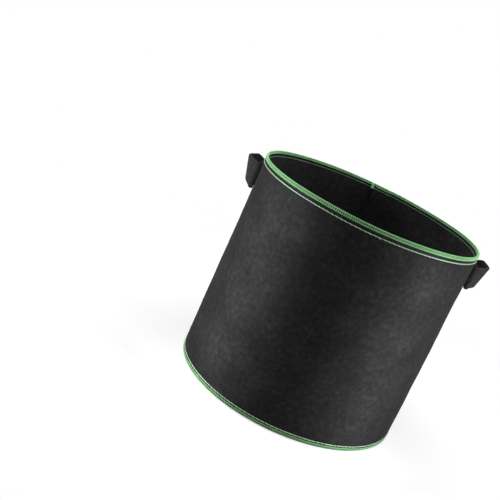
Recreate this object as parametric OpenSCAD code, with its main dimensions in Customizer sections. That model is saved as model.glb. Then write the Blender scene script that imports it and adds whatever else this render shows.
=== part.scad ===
// Round felt grow bag with two strap handles, sewn with overlocked edges.
// Origin at the centre of the hem ring, on the ground. +Z up, front at -Y, handles on +X and -X.

/* [Bag] */
// Outside diameter of the wall
bag_d = 300; // [200:5:500]
// Height from the ground to the top of the rim
bag_h = 275; // [150:5:450]
// Thickness of the felt
felt = 3; // [2:0.25:4]
// Outside radius of the bend between the floor panel and its turned-down edge
floor_bend = 5; // [4.5:0.5:9]

/* [Back seam] */
// Width by which the two ends of the wall strip overlap
lap_w = 20; // [14:1:40]
// Length along which the inner end steps in under the outer one
step_w = 10; // [6:1:20]
// Where the outer end of the strip stops, from the right-hand handle
lap_angle = 86; // [70:1:110]
// Clearance between the two layers of the lap
lap_gap = 0.2; // [0.1:0.05:0.5]

/* [Overlock] */
// How far the overlock thread reaches over the felt from an edge
lock_band = 4.5; // [3:0.5:8]
// Thickness of the overlock thread on the felt
lock_t = 0.8; // [0.4:0.1:1.5]
// Width of the thread tail that is caught inside the rim
tail_w = 2.5; // [1.5:0.25:4]

/* [Line stitches] */
// Distance from the rim's overlock down to its line stitch
rim_margin = 4; // [1.5:0.5:15]
// Distance from the hem's overlock up to its line stitch
hem_margin = 2.5; // [1.5:0.5:15]
// Clearance between a line stitch and what starts next to it
row_gap = 0.2; // [0.1:0.05:1]
// Thickness of the sewing thread
thread_d = 1; // [0.5:0.1:1.5]
// Length of one stitch with the gap after it
stitch_len = 6; // [3:0.5:10]
// Gap between two stitches
stitch_gap = 0.8; // [0.4:0.1:1.5]
// Clearance between a stitch and the felt that it lies on
thread_gap = 0.02; // [0.01:0.01:0.1]

/* [Handles] */
// Width of the strap, which stands upright
strap_w = 34; // [20:1:50]
// Thickness of the strap
strap_t = 3; // [2:0.25:4]
// Distance of the strap's upper edge below the rim's line stitch
strap_drop = 4.5; // [0.8:0.1:30]
// How far the loop reaches out from the wall
loop_reach = 20; // [15:1:40]
// Half the length of wall that the loop spans
loop_half = 34; // [28:1:60]
// How far each leg of the loop runs along the wall while it rises to the fold line
leg_run = 3; // [3:1:12]
// Half the length of the loop's outermost stretch
crown_half = 12; // [4:1:14]
// Distance from the wall of the line about which the loop lifts
fold_out = 7; // [5:0.5:9]
// Length of each sewn end of the strap, which is folded back under the loop
end_len = 24; // [16:1:26]
// Distance of the box of stitches from the edges of the sewn end
box_margin = 4; // [2.5:0.5:6]
// Angle by which both handles sit behind the bag's widest line
handle_turn = 2.5; // [-10:0.5:10]
// Clearance between the sewn ends and the wall
end_gap = 0.05; // [0.02:0.01:0.2]
// Clearance on each side of the fold line, between the loop and its ends
fold_gap = 0.15; // [0.1:0.05:0.4]

/* [Hidden] */
$fn = 64;

felt_colour = [0.11, 0.11, 0.115];
lock_colour = [0.36, 0.76, 0.4];
thread_colour = [0.67, 0.79, 0.7];
dark_thread = [0.07, 0.07, 0.075];

right_side = 0;
left_side = 1;
front_end = 0;
rear_end = 1;
outward = 0;
inward = 1;

outer_r = bag_d / 2;
inner_r = outer_r - felt;
flange_r = inner_r - felt;
wall_bottom = lock_t;
wall_top = bag_h - lock_t;
rim_row_z = bag_h - lock_band - rim_margin;
hem_row_z = lock_band + hem_margin;

// The turned-down edge stays straight past the hem's line stitch, and then bends into the floor.
bend_z = hem_row_z + thread_d / 2 + row_gap;
floor_z = bend_z + floor_bend;

// The lap lies between the floor panel and the rim's line stitch, and the sewn edges stay one layer.
lap_r = inner_r - lap_gap;
lap_bottom = floor_z + lap_gap;
lap_top = rim_row_z - thread_d / 2 - row_gap;
lap_turn = arc_angle(lap_w, lap_r);
step_turn = arc_angle(step_w, outer_r);
step_start = lap_angle - step_turn;
seam_margin = lap_w / 4;

// The stepped stretch is this much thinner on each face than the stretches it joins, and runs this
// far into them.
tuck = 0.05;
bury_turn = arc_angle(1, inner_r);

strap_top = rim_row_z - strap_drop;
strap_bottom = strap_top - strap_w;
end_r = outer_r + end_gap;
end_face_r = end_r + strap_t;
strap_mid_r = end_r + strap_t / 2;
fold_x = outer_r + fold_out;
crown_x = outer_r + loop_reach - strap_t / 2;
shoulder_half = loop_half - leg_run;
leave_angle = asin(loop_half / strap_mid_r);
end_turn = arc_angle(end_len, strap_mid_r);
leg_overlap = arc_angle(strap_t / 2, strap_mid_r);
margin_turn = arc_angle(box_margin, end_face_r);

// Middle line of the strap in plan, from where it leaves the wall at the front to the rear.
strap_route = [
    [strap_mid_r * cos(leave_angle), -loop_half],
    [fold_x, -shoulder_half],
    [crown_x, -crown_half],
    [crown_x, crown_half],
    [fold_x, shoulder_half],
    [strap_mid_r * cos(leave_angle), loop_half]
];

function arc_angle(length, r) = length / r * 180 / PI;
function on_circle(r, a) = [r * cos(a), r * sin(a)];
function stitch_count(length) = max(1, floor(length / stitch_len));

// ---- shapes that repeat ----

// Plan of a whole ring.
module ring_plan(r_in, r_out) {
    difference() {
        circle(r_out, $fn = 180);
        circle(r_in, $fn = 180);
    }
}

// Plan of a slice of the ground from the middle of the bag to well past its wall.
module slice_plan(a, turn) {
    polygon([[0, 0], on_circle(bag_d, a), on_circle(bag_d, a + turn)]);
}

// Plan of the part of a ring from angle a through a small turn.
module arc_plan(r_in, r_out, a, turn) {
    intersection() {
        ring_plan(r_in, r_out);
        slice_plan(a, turn);
    }
}

// A plan made solid from z_low to z_high.
module upright(z_low, z_high) {
    translate([0, 0, z_low])
        linear_extrude(z_high - z_low)
            children();
}

// Section of the overlock over an edge of width w, closed at the top, whose highest line is y = 0.
module overlock_section(w) {
    difference() {
        union() {
            translate([-lock_t, -lock_band])
                square([w + 2 * lock_t, lock_band - lock_t]);
            translate([0, -lock_t])
                square([w, lock_t]);
            for (x = [0, w])
                translate([x, -lock_t])
                    circle(lock_t);
        }
        translate([0, -lock_band - 1])
            square([w, lock_band + 1 - lock_t]);
    }
}

// Section of a thread that lies flat on felt: half a disc, bulging away from the felt.
module half_thread(facing, d = thread_d) {
    translate([facing == outward ? thread_gap : -thread_gap, 0])
        intersection() {
            circle(d = d, $fn = 24);
            translate([facing == outward ? 0 : -d, -d])
                square([d, 2 * d]);
        }
}

// A row of stitches round the wall at height z, from angle a through turn.
module stitch_row(r, z, facing, a = 0, turn = 360) {
    count = stitch_count(turn * PI / 180 * r);
    step = turn / count;
    for (i = [0 : count - 1])
        rotate([0, 0, a + i * step])
            rotate_extrude(angle = step * (1 - stitch_gap / stitch_len), $fn = 180)
                translate([r, z])
                    half_thread(facing);
}

// An upright row of stitches at angle a, from z_low to z_high.
module stitch_column(r, a, z_low, z_high, facing) {
    count = stitch_count(z_high - z_low);
    step = (z_high - z_low) / count;
    for (i = [0 : count - 1])
        rotate([0, 0, a])
            translate([r, 0, 0])
                upright(z_low + i * step, z_low + (i + 1 - stitch_gap / stitch_len) * step)
                    half_thread(facing);
}

// ---- bag ----

// One strip of felt, rolled into a tube whose ends overlap at the back.
module wall_panel() {
    color(felt_colour) {
        upright(wall_bottom, lap_bottom)
            ring_plan(inner_r, outer_r);
        upright(lap_bottom, lap_top) {
            difference() {
                ring_plan(inner_r, outer_r);
                slice_plan(step_start, step_turn);
            }
            polygon([
                on_circle(inner_r + tuck, step_start - bury_turn),
                on_circle(outer_r - tuck, step_start - bury_turn),
                on_circle(lap_r - tuck, lap_angle),
                on_circle(lap_r - felt + tuck, lap_angle)
            ]);
            arc_plan(lap_r - felt, lap_r, lap_angle - bury_turn, lap_turn + bury_turn);
        }
        upright(lap_top, wall_top)
            ring_plan(inner_r, outer_r);
    }
}

// A disc of felt whose edge is turned down inside the wall and sewn to it at the hem.
module base_panel() {
    bend_x = inner_r - floor_bend;
    color(felt_colour)
        rotate_extrude($fn = 180) {
            translate([0, floor_z - felt])
                square([bend_x, felt]);
            translate([flange_r, wall_bottom])
                square([felt, bend_z - wall_bottom]);
            translate([bend_x, bend_z])
                intersection() {
                    difference() {
                        circle(floor_bend);
                        circle(floor_bend - felt);
                    }
                    square(floor_bend);
                }
        }
}

module rim_overlock() {
    color(lock_colour)
        rotate_extrude($fn = 180)
            translate([inner_r, bag_h])
                overlock_section(felt);
}

// Binds the wall's lower edge and the floor panel's turned-down edge together.
module hem_overlock() {
    color(lock_colour)
        rotate_extrude($fn = 180)
            translate([flange_r, 0])
                mirror([0, 1])
                    overlock_section(2 * felt);
}

// Where the rim's overlock starts and ends, its tail is folded in and caught by the line stitch.
module rim_thread_tail() {
    tail_low = rim_row_z + thread_d / 2;
    tail_high = bag_h - lock_band;
    color(lock_colour)
        rotate([0, 0, lap_angle + lap_turn])
            translate([inner_r, 0, 0])
                upright(tail_low, tail_high)
                    half_thread(inward, tail_w);
}

module rim_stitch_outside() {
    color(thread_colour) stitch_row(outer_r, rim_row_z, outward);
}

module rim_stitch_inside() {
    color(thread_colour) stitch_row(inner_r, rim_row_z, inward);
}

module hem_stitch_outside() {
    color(thread_colour) stitch_row(outer_r, hem_row_z, outward);
}

module hem_stitch_inside() {
    color(thread_colour) stitch_row(flange_r, hem_row_z, inward);
}

// Two upright rows that hold the lap together, on one face of it.
module seam_stitch(r, facing) {
    margin = arc_angle(seam_margin, lap_r);
    color(dark_thread)
        for (a = [lap_angle + margin, lap_angle + lap_turn - margin])
            stitch_column(r, a, lap_bottom + seam_margin, lap_top - seam_margin, facing);
}

module seam_stitch_outside() {
    seam_stitch(outer_r, outward);
}

module seam_stitch_inside() {
    seam_stitch(lap_r - felt, inward);
}

// ---- handles ----

// The strap's line in plan, as thick as the strap.
module strap_plan() {
    for (i = [0 : len(strap_route) - 2]) {
        from = strap_route[i];
        to = strap_route[i + 1];
        translate(from)
            rotate(atan2(to.y - from.y, to.x - from.x))
                translate([0, -strap_t / 2])
                    square([norm(to - from), strap_t]);
    }
    for (i = [1 : len(strap_route) - 2])
        translate(strap_route[i])
            circle(d = strap_t, $fn = 32);
}

// Turned to its place on the right-hand side, or the mirror image of that on the left.
module on_side(side) {
    mirror([side == left_side ? 1 : 0, 0, 0])
        rotate([0, 0, handle_turn])
            children();
}

// The front end as it is, or its mirror image at the rear.
module at_end(end) {
    mirror([0, end == rear_end ? 1 : 0, 0]) children();
}

// The part of the strap that stands off the wall and lifts about the fold line.
module handle_loop(side) {
    color(felt_colour)
        on_side(side)
            upright(strap_bottom, strap_top)
                intersection() {
                    strap_plan();
                    translate([fold_x + fold_gap, -loop_half])
                        square([loop_reach, 2 * loop_half]);
                }
}

// A sewn end of the strap, folded back under the loop, with the short leg that leads out to the loop.
module handle_end(side, end) {
    color(felt_colour)
        on_side(side)
            at_end(end)
                upright(strap_bottom, strap_top) {
                    arc_plan(end_r, end_face_r, -leave_angle - leg_overlap, end_turn + leg_overlap);
                    intersection() {
                        strap_plan();
                        translate([0, -loop_half - strap_t])
                            square([fold_x - fold_gap, loop_half]);
                    }
                }
}

// A box of stitches through a sewn end and the wall, with its thread on both faces.
module end_stitch(side, end) {
    a_low = -leave_angle + margin_turn;
    a_high = -leave_angle + end_turn - margin_turn;
    z_low = strap_bottom + box_margin;
    z_high = strap_top - box_margin;
    inset = thread_d / 2 + stitch_gap;
    inset_turn = arc_angle(inset, end_face_r);
    faces = [[end_face_r, outward], [inner_r, inward]];
    color(dark_thread)
        on_side(side)
            at_end(end)
                for (face = faces) {
                    for (z = [z_low, z_high])
                        stitch_row(face[0], z, face[1], a_low + inset_turn,
                                   a_high - a_low - 2 * inset_turn);
                    for (a = [a_low, a_high])
                        stitch_column(face[0], a, z_low + inset, z_high - inset, face[1]);
                }
}

module right_handle_loop() {
    handle_loop(right_side);
}

module right_handle_front_end() {
    handle_end(right_side, front_end);
}

module right_handle_rear_end() {
    handle_end(right_side, rear_end);
}

module right_front_end_stitch() {
    end_stitch(right_side, front_end);
}

module right_rear_end_stitch() {
    end_stitch(right_side, rear_end);
}

module left_handle_loop() {
    handle_loop(left_side);
}

module left_handle_front_end() {
    handle_end(left_side, front_end);
}

module left_handle_rear_end() {
    handle_end(left_side, rear_end);
}

module left_front_end_stitch() {
    end_stitch(left_side, front_end);
}

module left_rear_end_stitch() {
    end_stitch(left_side, rear_end);
}

wall_panel();
base_panel();
rim_overlock();
hem_overlock();
rim_thread_tail();
rim_stitch_outside();
rim_stitch_inside();
hem_stitch_outside();
hem_stitch_inside();
seam_stitch_outside();
seam_stitch_inside();
right_handle_loop();
right_handle_front_end();
right_handle_rear_end();
right_front_end_stitch();
right_rear_end_stitch();
left_handle_loop();
left_handle_front_end();
left_handle_rear_end();
left_front_end_stitch();
left_rear_end_stitch();
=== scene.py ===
"""Looks of a round felt grow bag with two strap handles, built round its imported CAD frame.

Units are metres. The bag stands on the ground at the origin, +Z up, front at -Y, handles on +X and -X.
"""

import math

import bpy
import numpy as np
from mathutils import Matrix, Vector

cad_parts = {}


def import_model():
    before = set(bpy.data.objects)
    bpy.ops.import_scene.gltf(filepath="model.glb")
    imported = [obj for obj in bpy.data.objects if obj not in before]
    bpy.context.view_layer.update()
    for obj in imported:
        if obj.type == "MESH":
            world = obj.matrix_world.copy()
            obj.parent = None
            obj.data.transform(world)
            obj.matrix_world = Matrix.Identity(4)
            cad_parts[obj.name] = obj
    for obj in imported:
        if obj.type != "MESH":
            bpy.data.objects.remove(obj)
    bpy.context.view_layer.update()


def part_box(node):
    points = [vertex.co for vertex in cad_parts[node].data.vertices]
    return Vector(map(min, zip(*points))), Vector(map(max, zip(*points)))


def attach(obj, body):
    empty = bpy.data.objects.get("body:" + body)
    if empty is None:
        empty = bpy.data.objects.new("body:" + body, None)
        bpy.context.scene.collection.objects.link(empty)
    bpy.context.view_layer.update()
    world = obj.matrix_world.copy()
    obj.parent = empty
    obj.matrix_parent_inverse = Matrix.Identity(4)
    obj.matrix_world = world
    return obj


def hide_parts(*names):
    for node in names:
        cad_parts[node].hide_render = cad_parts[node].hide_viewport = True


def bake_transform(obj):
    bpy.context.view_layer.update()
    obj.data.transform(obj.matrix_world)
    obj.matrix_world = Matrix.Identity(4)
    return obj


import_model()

MM = 0.001
TAU = 2 * math.pi


# ---- sizes, read from the frame ----

def low(node):
    """The lowest corner of a node's box."""
    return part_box(node)[0]


def high(node):
    """The highest corner of a node's box."""
    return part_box(node)[1]


def middle(node):
    """The middle of a node's box."""
    return (low(node) + high(node)) / 2


OUTER_R = high("wall_panel").x
INNER_R = high("rim_stitch_inside").x
FELT = OUTER_R - INNER_R
WALL_LOW = low("wall_panel").z
WALL_HIGH = high("wall_panel").z
BAG_TOP = high("rim_overlock").z
LOCK_BAND = BAG_TOP - low("rim_overlock").z
RIM_ROW = middle("rim_stitch_outside").z
HEM_ROW = middle("hem_stitch_outside").z
FLOOR_TOP = high("base_panel").z
THREAD_D = high("rim_stitch_outside").z - low("rim_stitch_outside").z
STRAP_LOW = low("right_handle_loop").z
STRAP_HIGH = high("right_handle_loop").z
# sizes that the boxes don't show
STRAP_T = 3 * MM
HANDLE_TURN = math.radians(2.5)
END_LENGTH = 24 * MM
LOOP_HALF = 34 * MM
BOX_MARGIN = 4 * MM

TAIL = middle("rim_thread_tail")
LAP_WIDTH = 20 * MM
STEP_WIDTH = 10 * MM
LAP_END = math.atan2(TAIL.y, TAIL.x)
LAP_START = LAP_END - LAP_WIDTH / INNER_R
STEP_START = LAP_START - STEP_WIDTH / OUTER_R
LAYER_GAP = 0.2 * MM


# ---- soft noise and the bag's gentle unevenness ----

def smooth(x):
    """0 below 0, 1 above 1, and an S-curve between."""
    x = np.clip(x, 0.0, 1.0)
    return x * x * (3 - 2 * x)


def bump(x, width):
    """1 at 0, falling to nothing at about twice the width on both sides."""
    return np.exp(-((x / width) ** 2))


def wrap_angle(a):
    """An angle, or an array of them, brought to between -pi and pi."""
    return (a + math.pi) % TAU - math.pi


class Lumps:
    """Smooth random values over a plane, from -1 to 1, which repeat after a whole number of cells."""

    def __init__(self, seed, cell, repeat_u=None, rows=64):
        self.cell = cell
        self.columns = max(3, round(repeat_u / cell)) if repeat_u else 64
        self.cell_u = repeat_u / self.columns if repeat_u else cell
        self.grid = np.random.default_rng(seed).uniform(-1, 1, (self.columns, rows))

    def __call__(self, u, v):
        u = np.asarray(u, float) / self.cell_u
        v = np.asarray(v, float) / self.cell
        u, v = np.broadcast_arrays(u, v)
        iu, iv = np.floor(u).astype(int), np.floor(v).astype(int)
        fu, fv = smooth(u - iu), smooth(v - iv)
        columns, rows = self.grid.shape
        value = 0.0
        for du, wu in ((0, 1 - fu), (1, fu)):
            for dv, wv in ((0, 1 - fv), (1, fv)):
                value = value + self.grid[(iu + du) % columns, (iv + dv) % rows] * wu * wv
        return value


GIRTH = TAU * OUTER_R
broad_lumps = Lumps(11, 70 * MM, GIRTH)
middle_lumps = Lumps(12, 26 * MM, GIRTH)
small_lumps = Lumps(13, 7 * MM, GIRTH, rows=128)
fine_lumps = Lumps(14, 2.6 * MM, GIRTH, rows=256)

# the wall draws in at half height and towards the rim, and its plan is a little oval
WAIST = 0.4 * MM
TAPER = 3.2 * MM
OVAL = 0.4 * MM
BROAD_SWAY = 0.9 * MM
SMALL_SWAY = 0.35 * MM
RIM_WAVE = 0.5 * MM
RIM_WAVE_ROW = 0.31


def wall_sway(angle, z):
    """How far the wall's middle surface leans out from a true cylinder, at an angle and a height."""
    share = np.clip(z / BAG_TOP, 0, 1)
    held = smooth(z / (30 * MM)) * (0.35 + 0.65 * smooth((BAG_TOP - z) / (45 * MM)))
    arc = (np.asarray(angle) % TAU) * OUTER_R
    waist = -WAIST * 4 * share * (1 - share) - TAPER * share
    oval = OVAL * np.cos(2 * np.asarray(angle)) * share
    waves = BROAD_SWAY * broad_lumps(arc, z) + SMALL_SWAY * middle_lumps(arc, z)
    return waist + oval + waves * held


def rim_lift(angle, z):
    """How far the wall rises or dips at an angle, most at the rim and nothing at the ground."""
    arc = (np.asarray(angle) % TAU) * OUTER_R
    return RIM_WAVE * broad_lumps(arc, RIM_WAVE_ROW) * smooth(z / BAG_TOP) ** 2


def layer_in(angle):
    """How far the felt's outermost face lies inside the wall's at an angle, over the lap's step."""
    a = wrap_angle(np.asarray(angle) - LAP_START)
    step = smooth((a + STEP_WIDTH / OUTER_R) / (STEP_WIDTH / OUTER_R))
    return np.where(a < 0, step, 0.0)


def layers(angle):
    """How many layers of felt the wall has at an angle: 1, or 2 in the lap, with a short ramp."""
    into = wrap_angle(np.asarray(angle) - STEP_START) / (STEP_WIDTH / OUTER_R)
    out = wrap_angle(LAP_END - np.asarray(angle)) / (1.5 * MM / OUTER_R)
    return 1 + np.where(into < 0, 0, smooth(into)) * smooth(out)


def outer_face(angle, z):
    """Radius of the wall's outermost face."""
    ease = smooth(bump(wrap_angle(np.asarray(angle) - LAP_START), 2 * MM / OUTER_R))
    return OUTER_R + wall_sway(angle, z) - (FELT * 0.8) * layer_in(angle) * (1 - ease)


def inner_face(angle, z):
    """Radius of the wall's innermost face."""
    return OUTER_R + wall_sway(angle, z) - FELT - (FELT + LAYER_GAP) * (layers(angle) - 1)


def at(r, angle, z):
    """Points at those radii, angles and heights, with the rim's rise and fall."""
    z = np.asarray(z, float) + rim_lift(angle, z)
    return np.stack(np.broadcast_arrays(r * np.cos(angle), r * np.sin(angle), z), -1)


# ---- mesh helpers ----

def new_mesh(name, points, faces, uvs=None):
    """A smooth-shaded mesh object from points, faces and one UV pair to a point."""
    mesh = bpy.data.meshes.new(name)
    mesh.from_pydata(np.asarray(points).reshape(-1, 3).tolist(), [], faces)
    if uvs is not None:
        layer = mesh.uv_layers.new(name="UVMap")
        index = np.zeros(len(mesh.loops), np.int32)
        mesh.loops.foreach_get("vertex_index", index)
        layer.data.foreach_set("uv", np.asarray(uvs, np.float32).reshape(-1, 2)[index].ravel())
    mesh.polygons.foreach_set("use_smooth", np.ones(len(mesh.polygons), bool))
    mesh.update()
    piece = bpy.data.objects.new(name, mesh)
    bpy.context.scene.collection.objects.link(piece)
    return piece


def grid_faces(rows, columns, base=0, close_rows=False, close_columns=False, flip=False):
    """Quads over a grid of points stored row by row."""
    r = np.arange(rows if close_rows else rows - 1)
    c = np.arange(columns if close_columns else columns - 1)
    r, c = np.meshgrid(r, c, indexing="ij")
    r2, c2 = (r + 1) % rows, (c + 1) % columns
    quads = np.stack([r * columns + c, r2 * columns + c, r2 * columns + c2, r * columns + c2], -1)
    quads = quads.reshape(-1, 4) + base
    if flip:
        quads = quads[:, ::-1]
    return quads.tolist()


def unit(v):
    """Vectors brought to a length of 1."""
    return v / np.maximum(np.linalg.norm(v, axis=-1, keepdims=True), 1e-12)


def tube(path, facing, radius, sides=6, closed=False, ply=0.0, ply_turn=0.0):
    """Points, faces and UVs of a thread along path. facing is a direction across it at each point.

    ply is how deep the grooves between its three plies are, as a share of the radius, and ply_turn
    is the length in which the plies go once round.
    """
    path = np.asarray(path, float)
    if closed:
        along = np.roll(path, -1, 0) - np.roll(path, 1, 0)
    else:
        along = np.gradient(path, axis=0)
    along = unit(along)
    up = unit(facing - along * (facing * along).sum(-1, keepdims=True))
    side = np.cross(along, up)
    steps = np.linalg.norm(np.diff(path, axis=0), axis=1)
    length = np.concatenate([[0], np.cumsum(steps)])
    a = np.arange(sides) / sides * TAU
    r = np.broadcast_to(np.asarray(radius, float), (len(path),))[:, None]
    if ply:
        r = r * (1 + ply * np.cos(3 * a[None] + TAU * length[:, None] / ply_turn * 3))
    ring = (r * np.cos(a))[..., None] * up[:, None] + (r * np.sin(a))[..., None] * side[:, None]
    points = path[:, None] + ring
    faces = grid_faces(len(path), sides, close_rows=closed, close_columns=True)
    uvs = np.stack(np.broadcast_arrays(length[:, None], a[None] / TAU), -1)
    if not closed:
        last = (len(path) - 1) * sides
        faces.append(list(range(sides))[::-1])
        faces.append([last + i for i in range(sides)])
    return points.reshape(-1, 3), faces, uvs.reshape(-1, 2)


def merge(name, parts):
    """One object from several (points, faces, uvs)."""
    points, faces, uvs, base = [], [], [], 0
    for p, f, t in parts:
        points.append(p)
        uvs.append(t)
        faces += [[i + base for i in face] for face in f]
        base += len(p)
    return new_mesh(name, np.concatenate(points), faces, np.concatenate(uvs))


# ---- felt panels ----

def felt_relief(arc, z):
    """Height of the felt's own lumps at a place on it."""
    return 0.10 * MM * small_lumps(arc, z) + 0.05 * MM * fine_lumps(arc, z)


STITCH_LENGTH = 6 * MM


def rim_row(angle):
    """Height of the rim's line stitch, which wanders: lower at the front than at the back."""
    return RIM_ROW + (0.4 + 1.2 * np.sin(angle)) * MM


def hem_row(angle):
    return HEM_ROW + 0 * np.asarray(angle)


def stitch_pull(angle, z):
    """How far the line stitches pull the felt in, most at the needle holes."""
    arc = (np.asarray(angle) % TAU) * OUTER_R
    holes = 0.5 + 0.5 * np.cos(TAU * arc / (GIRTH / round(GIRTH / STITCH_LENGTH)))
    pull = 0.0
    for row in (rim_row, hem_row):
        pull = pull + bump(z - row(angle), 2.2 * MM) * (0.30 + 0.35 * holes ** 3)
    return pull * MM


def wall_heights():
    """Heights at which the wall has a row of points: close together at the edges and stitches."""
    plain = np.linspace(WALL_LOW, WALL_HIGH, 122)
    rows = [r + d * MM for r in (RIM_ROW, HEM_ROW) for d in np.arange(-4, 4.1, 0.5)]
    edges = [WALL_LOW + d * MM for d in (0.3, 0.8, 1.6)] + [WALL_HIGH - d * MM for d in (0.3, 0.8, 1.6)]
    close = np.sort(np.concatenate([plain, rows, edges]))
    keep = [close[0]]
    for z in close[1:]:
        if z - keep[-1] > 0.28 * MM:
            keep.append(z)
    keep[-1] = WALL_HIGH
    return np.array(keep)


def wall_panel():
    """One strip of felt, rolled up, with its inner end stepped in under its outer end at the back."""
    z = wall_heights()
    turn = TAU + LAP_WIDTH / INNER_R
    a = LAP_START + np.linspace(0, turn, 640)
    a, z = np.meshgrid(a, z, indexing="ij")
    arc = (a - LAP_START) * OUTER_R
    step = smooth((a - LAP_START - TAU) / (STEP_WIDTH / OUTER_R) + 1)
    # the stitched edges press the two layers of the lap together
    pressed = 1 - 0.3 * (bump(z - BAG_TOP, 9 * MM) + bump(z, 9 * MM))
    middle_r = OUTER_R - FELT / 2 + wall_sway(a, z) - (FELT * pressed + LAYER_GAP) * step
    edge = np.minimum(z - WALL_LOW, WALL_HIGH - z)
    ends = np.minimum(a - LAP_START, LAP_START + turn - a) * OUTER_R
    half = FELT / 2 * (0.62 + 0.38 * smooth(edge / (7 * MM))) * pressed ** step
    half = half * np.sqrt(np.clip(edge / (1.2 * MM), 0.12, 1)) * np.sqrt(np.clip(ends / (1.2 * MM), 0.12, 1))
    pull = stitch_pull(a, z)
    outside = at(middle_r + half - pull + felt_relief(arc, z), a, z)
    inside = at(middle_r - half + pull + felt_relief(arc + 1.7, z), a, z)
    rows, columns = a.shape
    faces = grid_faces(rows, columns) + grid_faces(rows, columns, rows * columns, flip=True)
    border = [i * columns for i in range(rows)]
    border += [(rows - 1) * columns + j for j in range(1, columns)]
    border += [i * columns + columns - 1 for i in range(rows - 2, -1, -1)]
    border += [j for j in range(columns - 2, 0, -1)]
    shift = rows * columns
    for i, p in enumerate(border):
        q = border[(i + 1) % len(border)]
        faces.append([p, q, q + shift, p + shift])
    uv = np.stack([arc, z], -1)
    piece = new_mesh("felt_wall", np.concatenate([outside.reshape(-1, 3), inside.reshape(-1, 3)]),
                     faces, np.concatenate([uv.reshape(-1, 2), uv.reshape(-1, 2) + [1.7, 0]]))
    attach(piece, "bag")
    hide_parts("wall_panel")
    return piece


FLOOR_BEND = 5 * MM


def base_panel():
    """A disc of felt that sags a little, with its edge turned down inside the wall."""
    flat_r = INNER_R - FLOOR_BEND
    bend_z = FLOOR_TOP - FLOOR_BEND
    mid_r = FLOOR_BEND - FELT / 2
    # middle line of the section, from the centre out, as (radius, height, normal out, normal up)
    line = [(r, FLOOR_TOP - FELT / 2, 0, 1) for r in np.linspace(0.5 * MM, flat_r, 70)]
    line += [(flat_r + mid_r * math.sin(t), bend_z + mid_r * math.cos(t), math.sin(t), math.cos(t))
             for t in np.linspace(0, math.pi / 2, 8)[1:]]
    line += [(flat_r + mid_r, z, 1, 0) for z in np.linspace(bend_z, WALL_LOW, 10)[1:]]
    line = np.array(line)
    a = np.arange(360) / 360 * TAU
    a, k = np.meshgrid(a, np.arange(len(line)), indexing="ij")
    r, z, n_out, n_up = (line[k, i] for i in range(4))
    sag = -6.5 * MM * smooth(1 - r / flat_r) ** 0.8 + 0.5 * MM * middle_lumps(a * OUTER_R, r)
    z = z + np.where(n_up == 1, sag * smooth((flat_r - r) / (20 * MM)), 0)
    inset = FELT * 0.15 + (FELT + LAYER_GAP) * (layers(a) - 1) * smooth(r / flat_r * 6 - 5)
    faces, both = [], []
    relief = felt_relief(r * np.cos(a) + 2, r * np.sin(a) + 2) * smooth(r / (20 * MM))
    for side, base in ((1, 0), (-1, a.size)):
        off = side * FELT / 2 * 0.94 + relief
        rr = r + wall_sway(a, z) * smooth(r / flat_r * 3 - 2) - inset + n_out * off
        both.append(np.stack([rr * np.cos(a), rr * np.sin(a), z + n_up * off], -1).reshape(-1, 3))
        faces += grid_faces(*a.shape, base, close_rows=True, flip=side < 0)
    n, m = a.shape
    for i in range(n):
        j = (i + 1) % n
        faces.append([i * m + m - 1, j * m + m - 1, j * m + m - 1 + a.size, i * m + m - 1 + a.size][::-1])
    for base, order in ((0, 1), (a.size, -1)):
        faces.append([base + i * m for i in range(n)][::order])
    unrolled = np.concatenate([[0], np.cumsum(np.hypot(*np.diff(line[:, :2], axis=0).T))])[k]
    uv = np.stack([unrolled * np.cos(a), unrolled * np.sin(a)], -1).reshape(-1, 2)
    piece = new_mesh("felt_floor", np.concatenate(both), faces, np.concatenate([uv, uv + [0.9, 0]]))
    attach(piece, "bag")
    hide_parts("base_panel")
    return piece


# ---- overlocked edges ----

LOCK_PITCH = 2.7 * MM
LOCK_THREAD = 0.27 * MM


# One rung of the overlock on one face, as (share of the pitch along the edge, share of the way from the
# edge to the needle thread, height over the felt in thread radii). It goes up to the edge and back, and
# its foot is caught by the needle thread.
RUNG = np.array([
    (0.00, 1.00, 0.2), (0.12, 0.98, 0.7), (0.26, 0.93, 1.0), (0.36, 0.78, 1.0), (0.40, 0.52, 1.0),
    (0.41, 0.28, 1.0), (0.40, 0.08, 1.1), (0.50, -0.04, 1.6), (0.60, 0.08, 1.1), (0.59, 0.28, 1.0),
    (0.60, 0.52, 1.0), (0.64, 0.78, 1.0), (0.74, 0.93, 1.0), (0.88, 0.98, 0.7)])
RUNG_SLANT = 0.22
# One stitch of the needle thread, as (share of the pitch, height over the felt in thread radii).
DASH = np.array([(0.00, -0.5), (0.10, 0.55), (0.25, 1.55), (0.5, 1.8), (0.75, 1.55), (0.90, 0.55)])
CHAIN_SWING = 0.42 * MM
CHAIN_STEPS = 8


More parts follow.
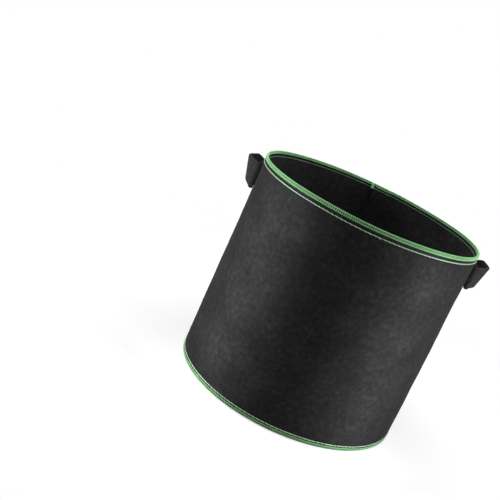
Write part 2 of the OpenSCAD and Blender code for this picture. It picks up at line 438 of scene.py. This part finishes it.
class Edge:
    """A raw edge that the overlock runs over, described by how far round it a point is.

    round is 0 on the very edge, positive down the outer face and negative down the inner face.
    """

    def __init__(self, top, direction, face_out, face_in, usual_half):
        self.top, self.direction = top, direction
        self.face_out, self.face_in = face_out, face_in
        self.usual_half = usual_half

    def place(self, angle, round_by, lift):
        """Points and surface directions at an angle round the bag and a distance round the edge."""
        angle, round_by, lift = np.broadcast_arrays(angle, round_by, lift)
        out = self.face_out(angle, np.full_like(angle, self.top))
        inn = self.face_in(angle, np.full_like(angle, self.top))
        middle_r, half = (out + inn) / 2, (out - inn) / 2
        corner = np.minimum(half, 1.5 * MM)
        flat = half - corner
        quarter = corner * math.pi / 2
        # where the edge is thicker than usual, the threads reach as far down its faces all the same
        way = np.abs(round_by)
        way = way + (half - self.usual_half) * np.minimum(way / self.usual_half, 1)
        side = np.sign(round_by)
        turn = np.clip((way - flat) / corner, 0, math.pi / 2)
        down = np.maximum(way - flat - quarter, 0)
        reach = corner + lift
        r = middle_r + side * (np.minimum(way, flat) + reach * np.sin(turn))
        z = self.top + self.direction * (-down - corner + reach * np.cos(turn))
        points = at(r, angle, z)
        n_r, n_z = side * np.sin(turn), self.direction * np.cos(turn)
        facing = np.stack(np.broadcast_arrays(n_r * np.cos(angle), n_r * np.sin(angle), n_z), -1)
        return points, facing


def overlock(name, edge, node, band, seed):
    """Three-thread overlock: rungs on both faces, a row of needle thread and a chain on the edge."""
    count = round(GIRTH / LOCK_PITCH)
    pitch = TAU / count
    drawn = np.random.default_rng(seed)
    uneven = drawn.uniform(-1, 1, (4, count))
    parts = []
    for side, reach in ((1, band[0]), (-1, band[1])):
        k = np.arange(count)[:, None]
        forward, down, height = RUNG.T[:, None]
        s = (k + forward + RUNG_SLANT * side * (1 - down)).ravel() * pitch
        depth = down + 0.05 * uneven[1][:, None] * down
        lift = height * LOCK_THREAD * (1 + 0.12 * uneven[2][:, None])
        points, facing = edge.place(s, (side * reach * depth).ravel(), lift.ravel())
        width = LOCK_THREAD * (1 + 0.08 * np.repeat(uneven[3], len(RUNG)))
        parts.append(tube(points, facing, width, 6, closed=True))
        # the needle thread: dashes on this face, dipping into the felt at each hole
        s = (k + DASH[None, :, 0]).ravel() * pitch
        wander = 0.02 * np.repeat(uneven[0], len(DASH))
        lift = np.tile(DASH[:, 1], count) * LOCK_THREAD
        points, facing = edge.place(s, side * reach * (0.97 + wander), lift)
        parts.append(tube(points, facing, LOCK_THREAD * 0.9, 6, closed=True))
    # the chain on the edge itself, where the loops of both faces hold each other
    steps = count * CHAIN_STEPS
    s = np.arange(steps) / steps * TAU
    for phase in (0.0, math.pi):
        swing = np.sin(s * count + phase)
        rise = 1.15 + 0.45 * np.cos(s * count + phase)
        points, facing = edge.place(s, CHAIN_SWING * swing, rise * LOCK_THREAD)
        parts.append(tube(points, facing, LOCK_THREAD * 0.85, 6, closed=True))
    piece = merge(name, parts)
    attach(piece, "bag")
    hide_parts(node)
    return piece


# Distances from the middle of an edge, over its corner and down its outer and inner faces, to the
# needle thread.
RIM_REACH = (FELT / 2 + LOCK_BAND - 1.9 * MM, FELT / 2 + LOCK_BAND - 2.9 * MM)
HEM_REACH = (FELT + LOCK_BAND - 1.6 * MM, FELT + LOCK_BAND - 1.6 * MM)


def rim_edge():
    def face_out(angle, z):
        return outer_face(angle, z) - 0.45 * MM

    def face_in(angle, z):
        return inner_face(angle, z) + 0.45 * MM

    return Edge(WALL_HIGH, 1, face_out, face_in, FELT / 2 - 0.45 * MM)


def hem_edge():
    def face_out(angle, z):
        return outer_face(angle, z) - 0.35 * MM

    def face_in(angle, z):
        return inner_face(angle, z) - FELT + 0.35 * MM

    return Edge(WALL_LOW, -1, face_out, face_in, FELT - 0.35 * MM)


# ---- line stitches ----

def pulled_out_face(angle, z):
    """The wall's outermost face, where the line stitches pull it in."""
    return outer_face(angle, z) - stitch_pull(angle, z)


def pulled_in_face(angle, z):
    """The wall's innermost face, where the line stitches pull it out."""
    return inner_face(angle, z) + stitch_pull(angle, z)


def hem_inner_face(angle, z):
    """The face of the floor's turned-down edge."""
    return inner_face(angle, z) - FELT * 1.1


def line_stitch(name, node, face, row, facing_out):
    """A row of lockstitches right round the bag on one face of the felt."""
    radius = THREAD_D / 2
    count = round(GIRTH / STITCH_LENGTH)
    per = 12
    k = np.arange(count * per)
    s = k / per * TAU / count
    t = (k % per) / per
    arch = np.sin(math.pi * t) ** 0.55
    side = 1 if facing_out else -1
    r = face(s, row(s)) + side * (-0.75 + 1.15 * arch) * radius
    wander = 0.12 * MM * np.random.default_rng(len(name)).uniform(-1, 1, count)[k // per]
    points = at(r, s, row(s) + wander * np.sin(math.pi * t) + 0.18 * MM * np.sin(TAU * t))
    facing = np.stack([np.cos(s), np.sin(s), np.zeros_like(s)], -1)
    part = tube(points, facing, radius * (0.72 + 0.28 * arch), 12, closed=True, ply=0.13, ply_turn=2.6 * MM)
    piece = merge(name, [part])
    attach(piece, "bag")
    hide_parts(node)
    return piece


def stitch_run(path, facing, length=3.4 * MM, radius=0.4 * MM, sides=8):
    """Parts for a row of separate stitches along a path on a surface that faces that way."""
    path, facing = np.asarray(path, float), unit(np.asarray(facing, float))
    steps = np.concatenate([[0], np.cumsum(np.linalg.norm(np.diff(path, axis=0), axis=1))])
    count = max(1, round(steps[-1] / length))
    per = 9
    t = np.linspace(0, 1, per)
    parts = []
    for i in range(count):
        d = (i + 0.06 + 0.88 * t) / count * steps[-1]
        p = np.stack([np.interp(d, steps, path[:, j]) for j in range(3)], -1)
        n = unit(np.stack([np.interp(d, steps, facing[:, j]) for j in range(3)], -1))
        arch = np.sin(math.pi * t) ** 0.6
        p = p + n * ((-0.7 + 1.15 * arch) * radius)[:, None]
        parts.append(tube(p, n, radius * (0.7 + 0.3 * arch), sides))
    return parts


def seam_stitch(name, node, face, facing_out):
    """Two upright rows through the lap, on one face of the wall."""
    parts = []
    z = np.linspace(low(node).z, high(node).z, 90)
    margin = LAP_WIDTH / 4 / INNER_R
    for a in (LAP_START + margin, LAP_END - margin):
        points = at(face(np.full_like(z, a), z), a, z)
        direction = np.array([math.cos(a), math.sin(a), 0]) * (1 if facing_out else -1)
        parts += stitch_run(points, np.tile(direction, (len(z), 1)), length=4.5 * MM)
    piece = merge(name, parts)
    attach(piece, "bag")
    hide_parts(node)
    return piece


def thread_tail():
    """The braided tail of the rim's overlock, folded in and held under the line stitch."""
    t = np.linspace(0, 1, 60)
    middle_angle = LAP_END + 3.5 * MM / INNER_R
    z_high = BAG_TOP - LOCK_BAND * 0.2
    z = z_high + (rim_row(middle_angle) - 0.9 * MM - z_high) * t
    parts = []
    for phase in (0, TAU / 3, 2 * TAU / 3):
        a = middle_angle + (1.5 * MM * np.sin(t * 14 + phase) - 0.8 * MM * t) / INNER_R
        r = inner_face(a, z) - (1.0 + 0.5 * np.cos(t * 14 + phase)) * MM
        facing = np.stack([-np.cos(a), -np.sin(a), np.zeros_like(a)], -1)
        parts.append(tube(at(r, a, z), facing, 1.0 * MM, 8))
    piece = merge("rim_thread_tail_braid", parts)
    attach(piece, "bag")
    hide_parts("rim_thread_tail")
    return piece


# ---- handles ----

def paired_curves(first, second, count):
    """Smooth lines through two lists of knots, as count points that keep matching knots level."""
    curves = []
    for knots in (first, second):
        knots = np.asarray(knots, float)
        ahead = np.vstack([2 * knots[0] - knots[1], knots, 2 * knots[-1] - knots[-2]])
        dense = []
        for i in range(1, len(ahead) - 2):
            p0, p1, p2, p3 = ahead[i - 1:i + 3]
            t = np.linspace(0, 1, 24, endpoint=False)[:, None]
            dense.append(0.5 * (2 * p1 + (p2 - p0) * t + (2 * p0 - 5 * p1 + 4 * p2 - p3) * t ** 2
                                + (3 * p1 - p0 - 3 * p2 + p3) * t ** 3))
        curves.append(np.vstack(dense + [knots[-1:]]))
    steps = sum(np.linalg.norm(np.diff(c, axis=0), axis=1) for c in curves) / 2
    way = np.concatenate([[0], np.cumsum(steps)])
    even = np.linspace(0, way[-1], count)
    return [np.stack([np.interp(even, way, c[:, i]) for i in (0, 1)], -1) for c in curves] + [even]


# Where the strap's middle runs in plan, as (along the wall, gap to the wall) in mm, from the end that
# is folded back at the front to the one at the rear, for the strap's upper and lower edges.
STRAP_UPPER = [(-11, 0), (-21, 0), (-30, 0), (-33.2, 0.2), (-35.2, 1.3), (-35.3, 3.2), (-33.6, 5.3),
               (-29, 8.1), (-19, 13.3), (-8.6, 18.2), (-6.4, 19.0), (2, 18.3), (10, 16.8), (20.5, 15.6),
               (23.0, 13.6), (28, 8.8), (33.4, 4.6), (35.4, 3.0), (35.0, 1.3), (33.0, 0.2), (30, 0),
               (21, 0), (11, 0)]
STRAP_LOWER = [(-11, 0), (-21, 0), (-30, 0), (-33.2, 0.1), (-34.8, 1.0), (-34.6, 2.6), (-31, 3.3),
               (-25, 4.2), (-12, 8.2), (-1, 12.2), (3, 13.5), (8, 13.6), (12, 13.3), (19, 12.2),
               (22, 10.4), (27.5, 6.4), (32.8, 3.6), (34.9, 2.6), (34.8, 1.0), (33.0, 0.1), (30, 0),
               (21, 0), (11, 0)]
# Beyond this gap a strap stands free of its folded end.
FOLD_GAP = 3.4 * MM
# How far each loop stands out, as a share of those gaps.
LOOP_SHARE = {1: 0.93, -1: 1.0}
# The rear legs and their ends sit lower on the wall than the front ones.
REAR_DROP = 7 * MM
# How far forward the lower edge of each front leg reaches, as a share of the knots' distance.
LOWER_REACH = {1: 0.74, -1: 1.0}


def strap(side, name):
    """One strip of felt whose ends are folded back and sewn to the wall, with a creased loop between."""
    stations = 230
    upper, lower = (np.array(knots) * MM for knots in (STRAP_UPPER, STRAP_LOWER))
    lower[:, 0] = np.where(lower[:, 0] < 0, lower[:, 0] * LOWER_REACH[side], lower[:, 0])
    for knots in (upper, lower):
        standing = knots[:, 1] > FOLD_GAP
        knots[standing, 1] = FOLD_GAP + (knots[standing, 1] - FOLD_GAP) * LOOP_SHARE[side]
    upper, lower, way = paired_curves(upper, lower, stations)
    half_t = STRAP_T / 2
    width = STRAP_HIGH - STRAP_LOW
    # section: a flat loop with round edges, as (share of the width from the low edge, thickness side)
    flat = np.linspace(0, 1, 16)
    bend = np.linspace(0, math.pi, 7)[1:-1]
    section = [(v, 1.0, 0.0) for v in flat] + [(1.0, math.cos(b), math.sin(b)) for b in bend]
    section += [(v, -1.0, 0.0) for v in flat[::-1]] + [(0.0, -math.cos(b), -math.sin(b)) for b in bend]
    share, through, beyond = (np.array(section)[None, :, i] for i in range(3))
    run = lower[:, None] * (1 - share)[..., None] + upper[:, None] * share[..., None]
    along, gap = run[..., 0], run[..., 1]
    z = STRAP_LOW + half_t + share * (width - 2 * half_t) + beyond * half_t
    z = z + 0.4 * MM * np.sin(along / (19 * MM) + 0.6 * side)
    behind = smooth((way[:, None] - 0.63 * way[-1]) / (0.16 * way[-1]))
    z = z - REAR_DROP * behind
    angle = np.arcsin(np.clip(along / (OUTER_R + half_t), -1, 1))
    world_angle = HANDLE_TURN + angle if side > 0 else math.pi - HANDLE_TURN - angle
    face = outer_face(world_angle, z)
    out = gap + half_t + 0.15 * MM
    # close to the wall the gap is measured square to it, and further out straight out
    hug = 1 - smooth(gap / (6 * MM))
    x = (face * np.cos(angle) + out) * (1 - hug) + (face + out) * np.cos(angle) * hug
    y = along * (1 - hug) + (face + out) * np.sin(angle) * hug
    direction = unit(np.gradient(np.stack([x, y], -1), axis=0))
    arc = np.broadcast_to(way[:, None], x.shape)
    end = np.minimum(arc, way[-1] - arc)
    thin = np.sqrt(np.clip(end / (1.0 * MM), 0.15, 1)) * (1 - 0.10 * bump(gap, 2 * MM))
    relief = felt_relief(arc + 3.1 * side, z + through * 0.5)
    offset = through * half_t * thin + relief
    x = x + direction[..., 1] * offset
    y = y - direction[..., 0] * offset
    c, s = math.cos(HANDLE_TURN), math.sin(HANDLE_TURN)
    points = np.stack([side * (x * c - y * s), x * s + y * c, z], -1)
    n = len(section)
    faces = grid_faces(stations, n, close_columns=True, flip=side > 0)
    first, last = list(range(n)), [(stations - 1) * n + i for i in range(n)]
    faces += [first if side > 0 else first[::-1], last[::-1] if side > 0 else last]
    uv = np.stack([arc + 3.1 * side, z + through * 0.5], -1)
    piece = new_mesh(name, points.reshape(-1, 3), faces, uv.reshape(-1, 2))
    prefix = "right" if side > 0 else "left"
    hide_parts(prefix + "_handle_loop", prefix + "_handle_front_end", prefix + "_handle_rear_end")
    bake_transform(piece)
    return piece


def end_stitches(side, front, name, node):
    """A box of stitches through one folded-back end of a strap."""
    r_strap = OUTER_R + STRAP_T / 2
    fold = LOOP_HALF / r_strap
    near, far = fold - BOX_MARGIN / r_strap, fold - (END_LENGTH - BOX_MARGIN) / r_strap
    z_low, z_high = STRAP_LOW + BOX_MARGIN, STRAP_HIGH - BOX_MARGIN
    corners = [(near, z_low), (far, z_low), (far, z_high), (near, z_high), (near, z_low)]
    parts = []
    for outside in (True, False):
        for (a0, z0), (a1, z1) in zip(corners[:-1], corners[1:]):
            t = np.linspace(0, 1, 24)
            a = HANDLE_TURN + (a0 + (a1 - a0) * t) * (-1 if front else 1)
            z = z0 + (z1 - z0) * t - (0 if front else REAR_DROP)
            theta = a if side > 0 else math.pi - a
            r = outer_face(theta, z) + STRAP_T + 0.1 * MM if outside else inner_face(theta, z)
            points = at(r, theta, z)
            points[:, 2] -= rim_lift(theta, z)
            facing = np.stack([np.cos(theta), np.sin(theta), np.zeros_like(theta)], -1)
            parts += stitch_run(points, facing if outside else -facing)
    piece = merge(name, parts)
    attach(piece, "bag")
    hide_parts(node)
    return piece


# ---- materials ----

class Nodes:
    """Short forms for building a material's node tree."""

    def __init__(self, name):
        self.material = bpy.data.materials.new(name)
        self.material.use_nodes = True
        self.tree = self.material.node_tree
        self.tree.nodes.clear()

    def add(self, kind, inputs=None, **settings):
        node = self.tree.nodes.new(kind)
        for key, value in settings.items():
            setattr(node, key, value)
        for key, value in (inputs or {}).items():
            socket = node.inputs[key]
            if isinstance(value, bpy.types.NodeSocket):
                self.tree.links.new(value, socket)
            else:
                socket.default_value = value
        return node

    def math(self, operation, *values):
        node = self.add("ShaderNodeMath", operation=operation)
        for socket, value in zip(node.inputs, values):
            if isinstance(value, bpy.types.NodeSocket):
                self.tree.links.new(value, socket)
            else:
                socket.default_value = value
        return node.outputs[0]

    def noise(self, vector, scale, detail=3.0, roughness=0.55, distortion=0.0):
        return self.add("ShaderNodeTexNoise", {
            "Vector": vector, "Scale": scale, "Detail": detail, "Roughness": roughness,
            "Distortion": distortion}).outputs["Fac"]

    def stretched(self, vector, angle, along, across):
        """Coordinates turned by an angle, then scaled along and across that direction."""
        turned = self.add("ShaderNodeMapping", {"Vector": vector, "Rotation": (0, 0, angle)})
        return self.add("ShaderNodeMapping", {
            "Vector": turned.outputs[0], "Scale": (along, across, 1)}).outputs[0]

    def ramp(self, value, stops):
        node = self.add("ShaderNodeValToRGB", {"Fac": value})
        elements = node.color_ramp.elements
        while len(elements) < len(stops):
            elements.new(0.5)
        for element, (position, colour) in zip(elements, stops):
            element.position = position
            element.color = (*colour, 1)
        return node.outputs["Color"]

    def output(self, shader):
        self.add("ShaderNodeOutputMaterial", {"Surface": shader})
        return self.material


def felt_material(name, shade=1.0):
    """Needle-punched felt: short fibres lying every way, matted into soft clumps, with some fuzz."""
    n = Nodes(name)
    uv = n.add("ShaderNodeTexCoord").outputs["UV"]
    clumps = n.noise(uv, 160, 4, 0.6)
    broad = n.noise(uv, 28, 3, 0.5)
    fibres = None
    for angle, along in ((0.2, 330), (1.0, 300), (1.75, 360), (2.6, 310)):
        layer = n.noise(n.stretched(uv, angle, along, along * 7), 1.0, 2, 0.6, 0.6)
        layer = n.math("SUBTRACT", layer, 0.5)
        layer = n.math("ABSOLUTE", layer)
        fibres = layer if fibres is None else n.math("MINIMUM", fibres, layer)
    strands = n.math("SUBTRACT", 1.0, n.math("MULTIPLY", fibres, 9.0))
    mottle = n.math("ADD", n.math("MULTIPLY", clumps, 0.55), n.math("MULTIPLY", broad, 0.30))
    mottle = n.math("ADD", mottle, n.math("MULTIPLY", strands, 0.14))
    # A shade above 1 makes a lighter copy of the same felt, which paints light into it: the straps use 1.5
    # so that their facets look more lit.
    dark, mid, light = (tuple(shade * c for c in col) for col in (
        (0.011, 0.011, 0.0115), (0.023, 0.023, 0.024), (0.048, 0.048, 0.050)))
    colour = n.ramp(mottle, [(0.30, dark), (0.52, mid), (0.78, light)])
    height = n.math("ADD", n.math("MULTIPLY", clumps, 0.8), n.math("MULTIPLY", strands, 0.35))
    bumped = n.add("ShaderNodeBump", {"Strength": 0.55, "Distance": 0.0006, "Height": height})
    rough = n.math("ADD", 0.86, n.math("MULTIPLY", clumps, 0.12))
    shader = n.add("ShaderNodeBsdfPrincipled", {
        "Base Color": colour, "Roughness": rough, "Normal": bumped.outputs[0],
        "Specular IOR Level": 0.03, "Sheen Weight": 0.03, "Sheen Roughness": 0.5,
        "Sheen Tint": (0.85, 0.87, 0.9, 1)})
    return n.output(shader.outputs[0])


def thread_material(name, dark, light, turn=0.9 * MM, plies=2, sheen=0.35, gloss=0.45):
    """Twisted polyester thread: plies that wind round it, with fine filaments and a soft shine."""
    n = Nodes(name)
    uv = n.add("ShaderNodeTexCoord").outputs["UV"]
    parts = n.add("ShaderNodeSeparateXYZ", {"Vector": uv}).outputs
    along = n.math("DIVIDE", parts[0], turn)
    phase = n.math("MULTIPLY", n.math("ADD", along, parts[1]), TAU * plies)
    wave = n.math("MULTIPLY", n.math("ADD", n.math("SINE", phase), 1.0), 0.5)
    filaments = n.noise(n.add("ShaderNodeMapping", {"Vector": uv, "Scale": (900, 26, 1)}).outputs[0], 1.0, 2)
    patches = n.noise(uv, 55, 3)
    # The colour follows the same ply wave as the bump: darker in the grooves between the plies and lighter
    # on their crowns, which is painted shade and painted highlight; the filaments and patches are the
    # thread's own uneven tone.
    shade = n.math("ADD", n.math("MULTIPLY", wave, 0.45), n.math("MULTIPLY", filaments, 0.35))
    shade = n.math("ADD", shade, n.math("MULTIPLY", patches, 0.30))
    colour = n.ramp(shade, [(0.25, dark), (0.75, light)])
    height = n.math("ADD", wave, n.math("MULTIPLY", filaments, 0.4))
    bumped = n.add("ShaderNodeBump", {"Strength": 0.5, "Distance": 0.00015, "Height": height})
    shader = n.add("ShaderNodeBsdfPrincipled", {
        "Base Color": colour, "Roughness": 0.52, "Normal": bumped.outputs[0],
        "Specular IOR Level": gloss, "Sheen Weight": sheen, "Sheen Roughness": 0.4})
    return n.output(shader.outputs[0])


def dress(pieces, material):
    """Give each piece that one material."""
    for piece in pieces:
        piece.data.materials.clear()
        piece.data.materials.append(material)


# ---- stage, light and camera ----

VIEW_TARGET = (0, 0, 0.14)
VIEW_DISTANCE = 1.0731
VIEW_ELEVATION = math.radians(16.578)
VIEW_ROLL = math.radians(25.621)
VIEW_LENS = 59.10
VIEW_SHIFT = (-0.1611, 0.0886)
WORLD_LIGHT = 0.06
FLOOR_RADIUS = 1.6
FLOOR_GLOW = 0.58
FADE_START, FADE_END = 0.28, 0.75


def ground():
    """A pale floor that keeps the bag's shadow and fades into the white all round.

    A glow that only the camera sees makes it nearly white without more light on the bag.
    """
    rings, spokes = 24, 96
    r = np.linspace(0, 1, rings) ** 1.3 * FLOOR_RADIUS
    a = np.arange(spokes) / spokes * TAU
    r, a = np.meshgrid(np.maximum(r, 1 * MM), a, indexing="ij")
    points = np.stack([r * np.cos(a), r * np.sin(a), np.full_like(r, -0.05 * MM)], -1)
    faces = grid_faces(rings, spokes, close_columns=True)
    faces.append(list(range(spokes)))
    floor = new_mesh("pale_floor", points.reshape(-1, 3), faces)
    n = Nodes("pale_floor")
    place = n.add("ShaderNodeTexCoord").outputs["Object"]
    far = n.add("ShaderNodeVectorMath", {0: place}, operation="LENGTH").outputs["Value"]
    fade = n.add("ShaderNodeMapRange", {
        "Value": far, "From Min": FADE_START, "From Max": FADE_END}).outputs[0]
    pale = n.add("ShaderNodeBsdfDiffuse", {"Color": (0.60, 0.60, 0.60, 1)})
    glow = n.add("ShaderNodeEmission", {"Color": (1, 1, 1, 1), "Strength": FLOOR_GLOW})
    bright = n.add("ShaderNodeAddShader", {0: pale.outputs[0], 1: glow.outputs[0]})
    seen = n.add("ShaderNodeLightPath").outputs["Is Camera Ray"]
    surface = n.add("ShaderNodeMixShader", {0: seen, 1: pale.outputs[0], 2: bright.outputs[0]})
    clear = n.add("ShaderNodeBsdfTransparent")
    # from below the floor isn't there, so that the underside can be seen
    below = n.add("ShaderNodeNewGeometry").outputs["Backfacing"]
    hidden = n.math("MAXIMUM", fade, below)
    mixed = n.add("ShaderNodeMixShader", {0: hidden, 1: surface.outputs[0], 2: clear.outputs[0]})
    dress([floor], n.output(mixed.outputs[0]))


def softbox(name, place, aim, size, power):
    """A rectangular lamp of so many watts that the camera doesn't see."""
    lamp = bpy.data.lights.new(name, "AREA")
    lamp.shape = "RECTANGLE"
    lamp.size, lamp.size_y = size
    lamp.energy = power
    holder = bpy.data.objects.new(name, lamp)
    bpy.context.scene.collection.objects.link(holder)
    holder.location = place
    holder.rotation_euler = (Vector(aim) - Vector(place)).to_track_quat("-Z", "Y").to_euler()
    holder.visible_camera = False


def lights():
    """Upright strips near the front, soft lights at the sides and above, and weak ones behind."""
    for side, name in ((-1, "left"), (1, "right")):
        softbox(f"side_strip_{name}", (side * 0.138, -0.164, 0.15), (0, 0, 0.15), (0.035, 0.30), 0.2)
        softbox(f"side_light_{name}", (side * 1.2, -0.15, 0.35), VIEW_TARGET, (0.5, 1.2), 9.5)
        softbox(f"rear_light_{name}", (side * 0.8, 1.0, 0.6), VIEW_TARGET, (0.6, 1.0), 2)
    softbox("top_light", (0, -0.03, 1.3), (0, -0.03, 0.14), (0.9, 0.3), 7.8)


def world():
    """White behind everything, and a dimmer even light on the bag."""
    sky = bpy.data.worlds.new("white")
    bpy.context.scene.world = sky
    sky.use_nodes = True
    tree = sky.node_tree
    tree.nodes.clear()
    path = tree.nodes.new("ShaderNodeLightPath")
    seen = tree.nodes.new("ShaderNodeMath")
    seen.operation = "MAXIMUM"
    tree.links.new(path.outputs["Is Camera Ray"], seen.inputs[0])
    also = tree.nodes.new("ShaderNodeMath")
    also.operation = "MAXIMUM"
    tree.links.new(path.outputs["Is Glossy Ray"], also.inputs[0])
    tree.links.new(path.outputs["Is Transmission Ray"], also.inputs[1])
    tree.links.new(also.outputs[0], seen.inputs[1])
    white, dim = (tree.nodes.new("ShaderNodeBackground") for _ in range(2))
    white.inputs["Color"].default_value = (1, 1, 1, 1)
    white.inputs["Strength"].default_value = 1.0
    dim.inputs["Color"].default_value = (1, 1, 1, 1)
    dim.inputs["Strength"].default_value = WORLD_LIGHT
    mix = tree.nodes.new("ShaderNodeMixShader")
    tree.links.new(seen.outputs[0], mix.inputs[0])
    tree.links.new(dim.outputs[0], mix.inputs[1])
    tree.links.new(white.outputs[0], mix.inputs[2])
    out = tree.nodes.new("ShaderNodeOutputWorld")
    tree.links.new(mix.outputs[0], out.inputs[0])


def camera():
    """Looks at the bag's middle from the front, tilted so that the bag leans to the right."""
    forward = Vector((0, math.cos(VIEW_ELEVATION), -math.sin(VIEW_ELEVATION)))
    level = Vector((1, 0, 0))
    upright = level.cross(forward)
    right = math.cos(VIEW_ROLL) * level + math.sin(VIEW_ROLL) * upright
    up = right.cross(forward)
    eye = Vector(VIEW_TARGET) - VIEW_DISTANCE * forward
    data = bpy.data.cameras.new("front_view")
    data.lens = VIEW_LENS
    data.shift_x, data.shift_y = VIEW_SHIFT
    data.clip_start = 0.01
    holder = bpy.data.objects.new("front_view", data)
    bpy.context.scene.collection.objects.link(holder)
    turn = Matrix((right, up, -forward)).transposed().to_4x4()
    holder.matrix_world = Matrix.Translation(eye) @ turn
    bpy.context.scene.camera = holder


# ---- the bag ----

camera()
world()
lights()
ground()

felt = felt_material("black_felt")
# The straps are the same black felt as the wall, painted 1.5 times lighter to stand in for light on their
# near facets: painted light.
strap_felt_painted_lighter = felt_material("black_felt_strap_painted_lighter", 1.5)
green = thread_material("green_overlock_thread", (0.05, 0.50, 0.07), (0.50, 0.95, 0.46), sheen=0.6)
# The tail is the overlock's own green thread; this copy is painted lighter so that the tail looks more lit:
# painted light.
tail_green_painted_lighter = thread_material("green_tail_thread_painted_lighter", (0.10, 0.72, 0.13), (0.34, 0.98, 0.38), sheen=0.6)
# The needle thread is green thread; its pale colour paints in the bleaching of its lit side: painted
# highlight.
pale = thread_material("green_needle_thread_painted_pale", (0.36, 0.62, 0.38), (0.68, 0.92, 0.69), plies=3)
dull = thread_material("dull_bobbin_thread", (0.07, 0.12, 0.08), (0.20, 0.30, 0.21), plies=3)
black = thread_material("black_sewing_thread", (0.004, 0.004, 0.004), (0.018, 0.018, 0.019),
                        sheen=0.02, gloss=0.08)

dress([base_panel(), wall_panel()], felt)
dress([
    strap(1, "right_handle_strap"),
    strap(-1, "left_handle_strap"),
], strap_felt_painted_lighter)
dress([
    overlock("rim_overlock_threads", rim_edge(), "rim_overlock", RIM_REACH, 21),
    overlock("hem_overlock_threads", hem_edge(), "hem_overlock", HEM_REACH, 22),
], green)
dress([thread_tail()], tail_green_painted_lighter)
# The needle threads get the green thread painted pale: painted highlight.
dress([
    line_stitch("rim_needle_stitch", "rim_stitch_outside", pulled_out_face, rim_row, True),
    line_stitch("hem_needle_stitch", "hem_stitch_outside", pulled_out_face, hem_row, True),
], pale)
dress([
    line_stitch("rim_bobbin_stitch", "rim_stitch_inside", pulled_in_face, rim_row, False),
    line_stitch("hem_bobbin_stitch", "hem_stitch_inside", hem_inner_face, hem_row, False),
], dull)
dress([
    seam_stitch("seam_needle_stitch", "seam_stitch_outside", outer_face, True),
    seam_stitch("seam_bobbin_stitch", "seam_stitch_inside", inner_face, False),
    end_stitches(1, True, "right_front_box_stitch", "right_front_end_stitch"),
    end_stitches(1, False, "right_rear_box_stitch", "right_rear_end_stitch"),
    end_stitches(-1, True, "left_front_box_stitch", "left_front_end_stitch"),
    end_stitches(-1, False, "left_rear_box_stitch", "left_rear_end_stitch"),
], black)

bpy.context.scene.view_settings.view_transform = "Standard"
